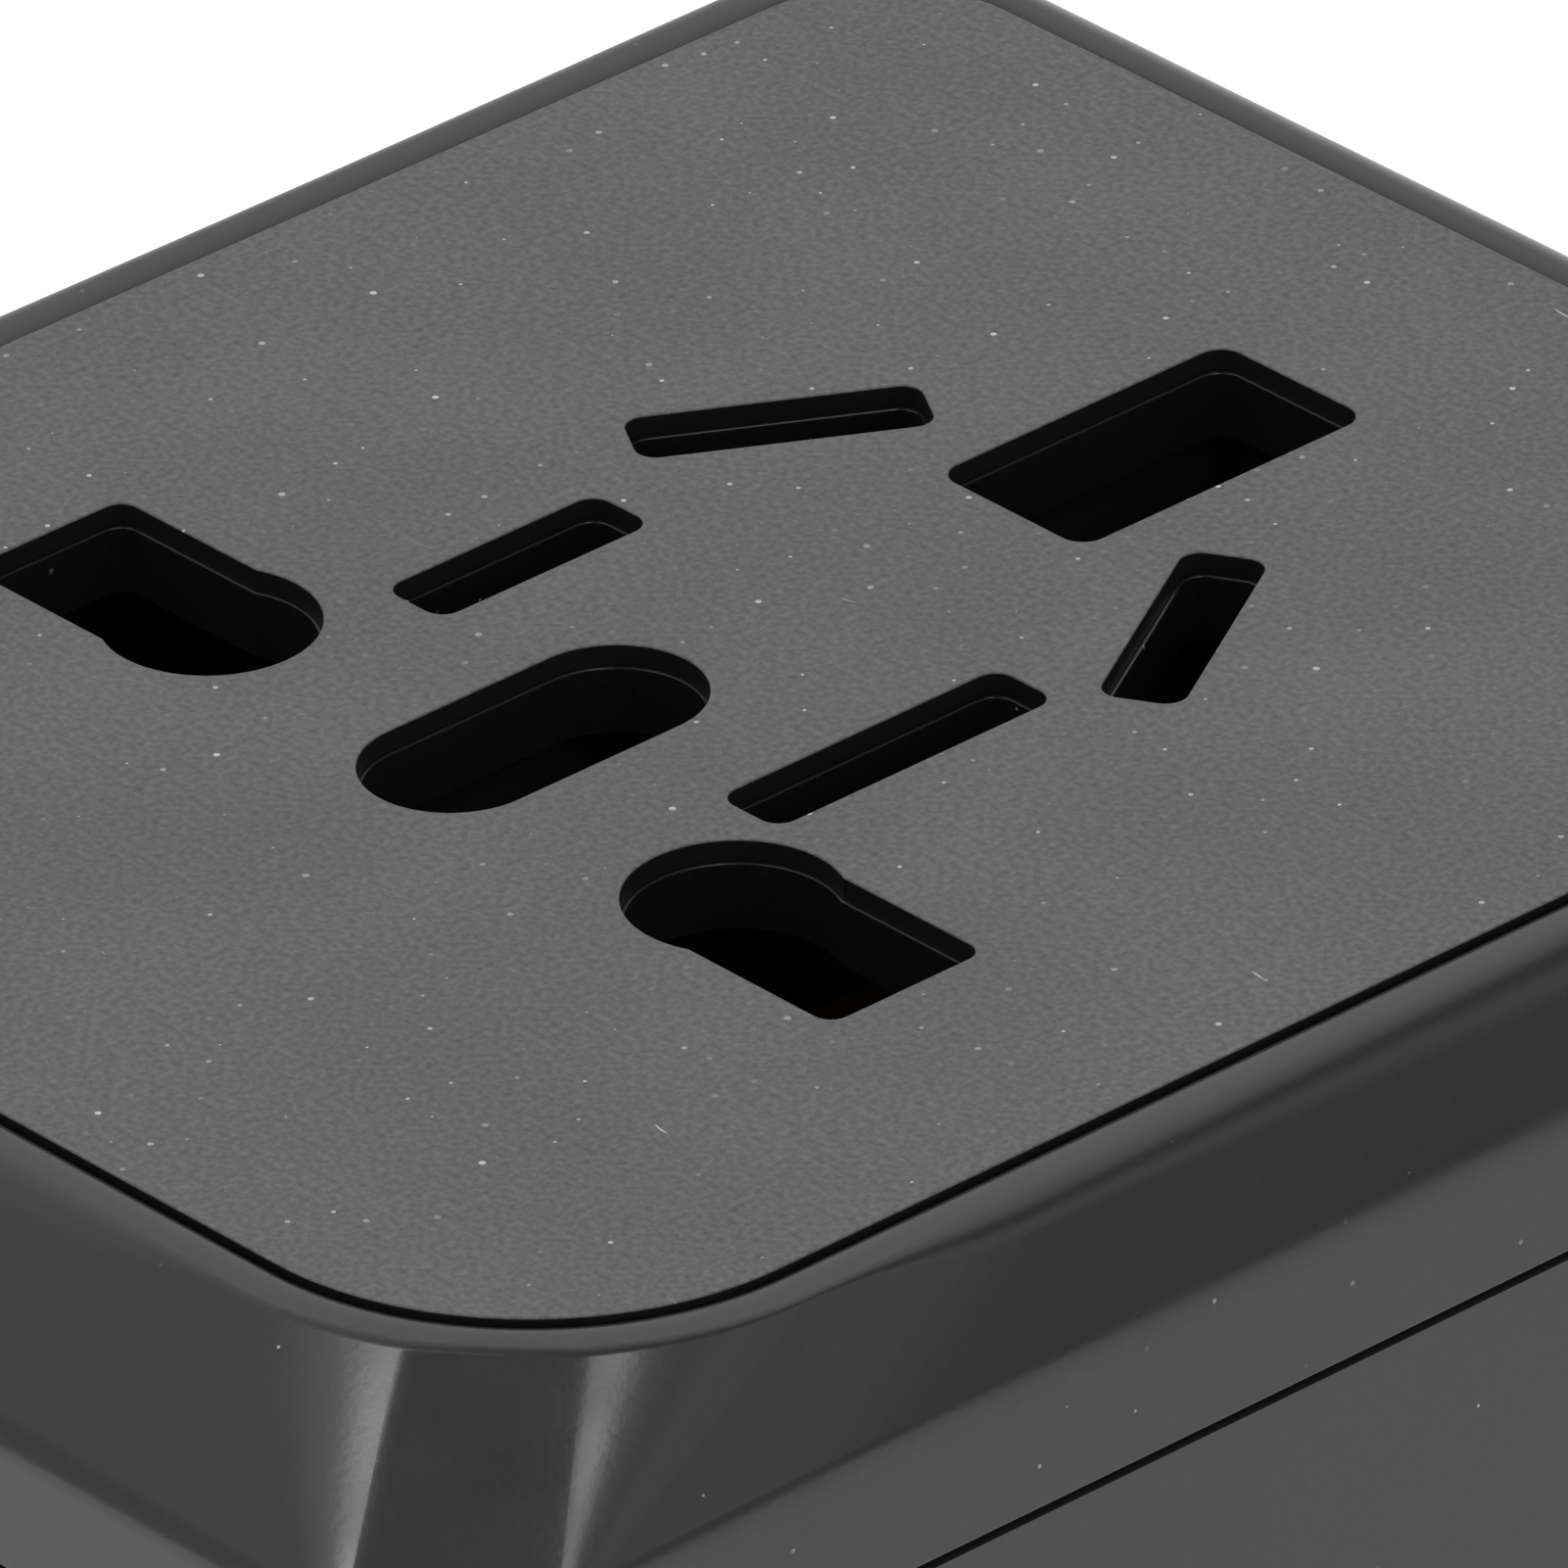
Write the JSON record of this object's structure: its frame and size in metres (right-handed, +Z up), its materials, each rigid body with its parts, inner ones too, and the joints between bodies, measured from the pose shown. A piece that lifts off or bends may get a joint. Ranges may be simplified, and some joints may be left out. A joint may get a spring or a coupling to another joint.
{
  "type": "travel voltage converter",
  "caption": "Block-shaped travel converter with a universal socket face on top and three sets of plug pins that slide out below.",
  "frame": {"origin": "middle of the underside of the base cover", "axes": "+Z up from the plug face to the socket face, +X towards the UK slider, +Y towards the socket's earth slot"},
  "size_m": [0.0544, 0.0648, 0.072],
  "materials": {
    "panel_plastic": "fine matte texture",
    "shell_plastic": "satin",
    "pin_brass": "machined",
    "contact_brass": "stamped",
    "carriage_plastic": "moulded",
    "knob_plastic": "fine texture",
    "sleeve_plastic": "moulded",
    "block_plastic": "moulded, black",
    "screw_steel": "zinc plated",
    "board_laminate": "solder-masked laminate",
    "core_steel": "laminated",
    "bobbin_plastic": "moulded",
    "winding_tape": "taped copper winding",
    "can_sleeve": "shrink sleeve on a can",
    "film_case": "dipped",
    "sink_aluminium": "extruded",
    "triac_case": "moulded",
    "fuse_tube": "clear",
    "fuse_metal": "nickel plated",
    "switch_case": "moulded",
    "lens_clear": "clear lens",
    "lamp_epoxy": "tinted epoxy"
  },
  "bodies": {
    "housing": {"face_panel": "panel_plastic", "top_shell": "shell_plastic", "main_housing": "shell_plastic", "base_cover": "shell_plastic", "base_screws": "screw_steel", "middle_plate": "carriage_plastic", "plate_screws": "screw_steel", "contact_block": "block_plastic", "block_screws": "screw_steel", "live_contact": "contact_brass", "neutral_contact": "contact_brass", "live_bus": "contact_brass", "neutral_bus": "contact_brass", "converter_board": "board_laminate", "board_screws": "screw_steel", "transformer_core": "core_steel", "transformer_bobbin": "bobbin_plastic", "transformer_winding": "winding_tape", "smoothing_capacitor": "can_sleeve", "suppression_capacitor": "film_case", "heat_sink": "sink_aluminium", "triac": "triac_case", "fuse_glass": "fuse_tube", "fuse_caps": "fuse_metal", "fuse_clips": "fuse_metal", "switch_body": "switch_case", "lamp_lens": "lens_clear", "lamp": "lamp_epoxy"},
    "uk_plug": {"uk_carriage": "carriage_plastic", "uk_pins": "pin_brass", "uk_pin_sleeves": "sleeve_plastic", "uk_earth_pin": "sleeve_plastic", "uk_knob": "knob_plastic"},
    "eu_plug": {"eu_carriage": "carriage_plastic", "eu_pins": "pin_brass", "eu_pin_sleeves": "sleeve_plastic", "eu_knob": "knob_plastic"},
    "us_plug": {"us_carriage": "carriage_plastic", "blade_tabs": "contact_brass", "us_knob": "knob_plastic"},
    "right_blade": {"blade_rotor_right": "sleeve_plastic", "blade_right": "pin_brass"},
    "left_blade": {"blade_rotor_left": "sleeve_plastic", "blade_left": "pin_brass"},
    "mode_switch": {"switch_knob": "knob_plastic"}
  },
  "joints": [
    {"name": "uk_slide", "type": "slide", "parent": "housing", "child": "uk_plug", "axis": [0, 0, -1], "range_m": [0, 0.0232]},
    {"name": "eu_slide", "type": "slide", "parent": "housing", "child": "eu_plug", "axis": [0, 0, -1], "range_m": [0, 0.0232]},
    {"name": "us_slide", "type": "slide", "parent": "housing", "child": "us_plug", "axis": [0, 0, -1], "range_m": [0, 0.0232]},
    {"name": "right_blade_turn", "type": "hinge", "parent": "us_plug", "child": "right_blade", "pos_m": [0.00635, 0.0004, 0.0254], "axis": [0, 0, 1], "range_deg": [0, 30]},
    {"name": "left_blade_turn", "type": "hinge", "parent": "us_plug", "child": "left_blade", "pos_m": [-0.00635, 0.0004, 0.0254], "axis": [0, 0, 1], "range_deg": [-30, 0]},
    {"name": "mode_select", "type": "slide", "parent": "housing", "child": "mode_switch", "axis": [1, 0, 0], "range_m": [0, 0.004]}
  ]
}
